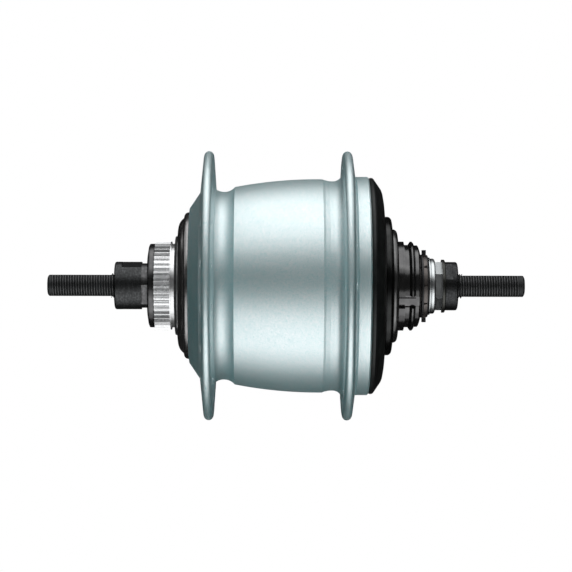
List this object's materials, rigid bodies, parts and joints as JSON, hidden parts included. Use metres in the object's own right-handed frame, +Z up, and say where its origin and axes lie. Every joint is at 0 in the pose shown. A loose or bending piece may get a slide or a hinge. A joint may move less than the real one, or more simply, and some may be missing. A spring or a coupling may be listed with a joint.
{
  "type": "internal gear hub",
  "caption": "Bicycle rear hub with planetary gears inside its shell: two spoke flanges, a splined brake side, a notched sprocket driver and a threaded axle with flats.",
  "frame": {"origin": "on the axle's centre line, midway between the outer faces of the two lock nuts and the two ends of the axle", "axes": "+X along the axle towards the driver side, +Y away from the viewer of the picture, +Z up across the flats of the axle ends"},
  "size_m": [0.184, 0.1038, 0.1038],
  "materials": {
    "shell_paint": "satin",
    "chrome": "polished",
    "steel_zinc": "zinc plated",
    "steel_black": "satin black plated",
    "steel_gear": "hardened",
    "steel_ground": "ground",
    "bronze": "dark",
    "brass": "satin",
    "rubber": "matte"
  },
  "bodies": {
    "axle": {"axle": "steel_black", "left_lock_nut": "steel_black", "left_cone": "steel_black", "left_cone_cover": "steel_black", "right_cone": "steel_zinc", "right_lock_washer": "steel_black", "right_lock_nut": "steel_black", "sun_l3": "steel_gear", "sun_r": "steel_gear", "axle_pawls": "steel_gear", "carrier_stop_ring": "steel_gear"},
    "shifter": {"shift_sleeve": "bronze", "shift_tab_ring": "bronze", "driver_race": "steel_ground"},
    "driver": {"driver": "steel_black", "ring_gear_r": "steel_gear", "driver_cover_large": "steel_black", "driver_cover_small": "steel_black", "driver_cup": "steel_ground", "driver_seal": "rubber"},
    "shell": {"hub_shell": "shell_paint", "left_flange": "shell_paint", "right_flange": "shell_paint", "brake_spline_ring": "chrome", "left_seal_disc": "rubber", "left_dust_cap": "steel_black", "left_cup": "steel_ground", "right_cup": "steel_ground", "right_dust_cap": "steel_black", "ring_gear_l": "steel_gear", "clutch_race": "steel_ground", "clutch_cam": "steel_gear", "clutch_rollers": "chrome", "clutch_cage": "brass"},
    "carrier": {"carrier_frame": "steel_gear", "carrier_left_plate": "steel_gear", "carrier_right_plate": "steel_gear", "planet_pins_l": "steel_ground", "planet_pins_r": "steel_ground"},
    "planet_l1": {"planet_l1": "steel_gear"},
    "planet_l2": {"planet_l2": "steel_gear"},
    "planet_l3": {"planet_l3": "steel_gear"},
    "planet_r1": {"planet_r1": "steel_gear"},
    "planet_r2": {"planet_r2": "steel_gear"},
    "planet_r3": {"planet_r3": "steel_gear"},
    "sun_l1": {"sun_l1": "steel_gear"},
    "sun_l2": {"sun_l2": "steel_gear"},
    "left_bearing": {"left_cage": "brass", "left_balls": "chrome"},
    "right_bearing": {"right_cage": "brass", "right_balls": "chrome"},
    "driver_bearing": {"driver_cage": "brass", "driver_balls": "chrome"}
  },
  "joints": [
    {"name": "shell_spin", "type": "hinge", "parent": "axle", "child": "shell", "pos_m": [0, 0, 0], "axis": [1, 0, 0], "continuous": true},
    {"name": "driver_spin", "type": "hinge", "parent": "axle", "child": "driver", "pos_m": [0, 0, 0], "axis": [1, 0, 0], "continuous": true},
    {"name": "carrier_spin", "type": "hinge", "parent": "axle", "child": "carrier", "pos_m": [0, 0, 0], "axis": [1, 0, 0], "continuous": true},
    {"name": "shift_turn", "type": "hinge", "parent": "axle", "child": "shifter", "pos_m": [0, 0, 0], "axis": [1, 0, 0], "range_deg": [-67.5, 90]},
    {"name": "planet_l1_spin", "type": "hinge", "parent": "carrier", "child": "planet_l1", "pos_m": [0, 0, -0.0225], "axis": [1, 0, 0], "continuous": true},
    {"name": "planet_l2_spin", "type": "hinge", "parent": "carrier", "child": "planet_l2", "pos_m": [0, 0.01949, 0.01125], "axis": [1, 0, 0], "continuous": true},
    {"name": "planet_l3_spin", "type": "hinge", "parent": "carrier", "child": "planet_l3", "pos_m": [0, -0.01949, 0.01125], "axis": [1, 0, 0], "continuous": true},
    {"name": "planet_r1_spin", "type": "hinge", "parent": "carrier", "child": "planet_r1", "pos_m": [0, 0, -0.021], "axis": [1, 0, 0], "continuous": true},
    {"name": "planet_r2_spin", "type": "hinge", "parent": "carrier", "child": "planet_r2", "pos_m": [0, 0.01819, 0.0105], "axis": [1, 0, 0], "continuous": true},
    {"name": "planet_r3_spin", "type": "hinge", "parent": "carrier", "child": "planet_r3", "pos_m": [0, -0.01819, 0.0105], "axis": [1, 0, 0], "continuous": true},
    {"name": "sun_l1_spin", "type": "hinge", "parent": "axle", "child": "sun_l1", "pos_m": [0, 0, 0], "axis": [1, 0, 0], "continuous": true},
    {"name": "sun_l2_spin", "type": "hinge", "parent": "axle", "child": "sun_l2", "pos_m": [0, 0, 0], "axis": [1, 0, 0], "continuous": true},
    {"name": "left_cage_spin", "type": "hinge", "parent": "axle", "child": "left_bearing", "pos_m": [0, 0, 0], "axis": [1, 0, 0], "continuous": true},
    {"name": "right_cage_spin", "type": "hinge", "parent": "axle", "child": "right_bearing", "pos_m": [0, 0, 0], "axis": [1, 0, 0], "continuous": true},
    {"name": "driver_cage_spin", "type": "hinge", "parent": "axle", "child": "driver_bearing", "pos_m": [0, 0, 0], "axis": [1, 0, 0], "continuous": true}
  ],
  "couplings": [
    {"joint": "driver_spin", "follows": "shell_spin", "ratio": 1.1818},
    {"joint": "carrier_spin", "follows": "shell_spin", "ratio": 0.61905},
    {"joint": "planet_l1_spin", "follows": "shell_spin", "ratio": 1.5238},
    {"joint": "planet_l2_spin", "follows": "shell_spin", "ratio": 1.5238},
    {"joint": "planet_l3_spin", "follows": "shell_spin", "ratio": 1.5238},
    {"joint": "planet_r1_spin", "follows": "shell_spin", "ratio": 1.5476},
    {"joint": "planet_r2_spin", "follows": "shell_spin", "ratio": 1.5476},
    {"joint": "planet_r3_spin", "follows": "shell_spin", "ratio": 1.5476},
    {"joint": "sun_l1_spin", "follows": "shell_spin", "ratio": -1.1224},
    {"joint": "sun_l2_spin", "follows": "shell_spin", "ratio": -0.30612},
    {"joint": "left_cage_spin", "follows": "shell_spin", "ratio": 0.61226},
    {"joint": "right_cage_spin", "follows": "shell_spin", "ratio": 1.0842},
    {"joint": "driver_cage_spin", "follows": "shell_spin", "ratio": 0.70939}
  ]
}
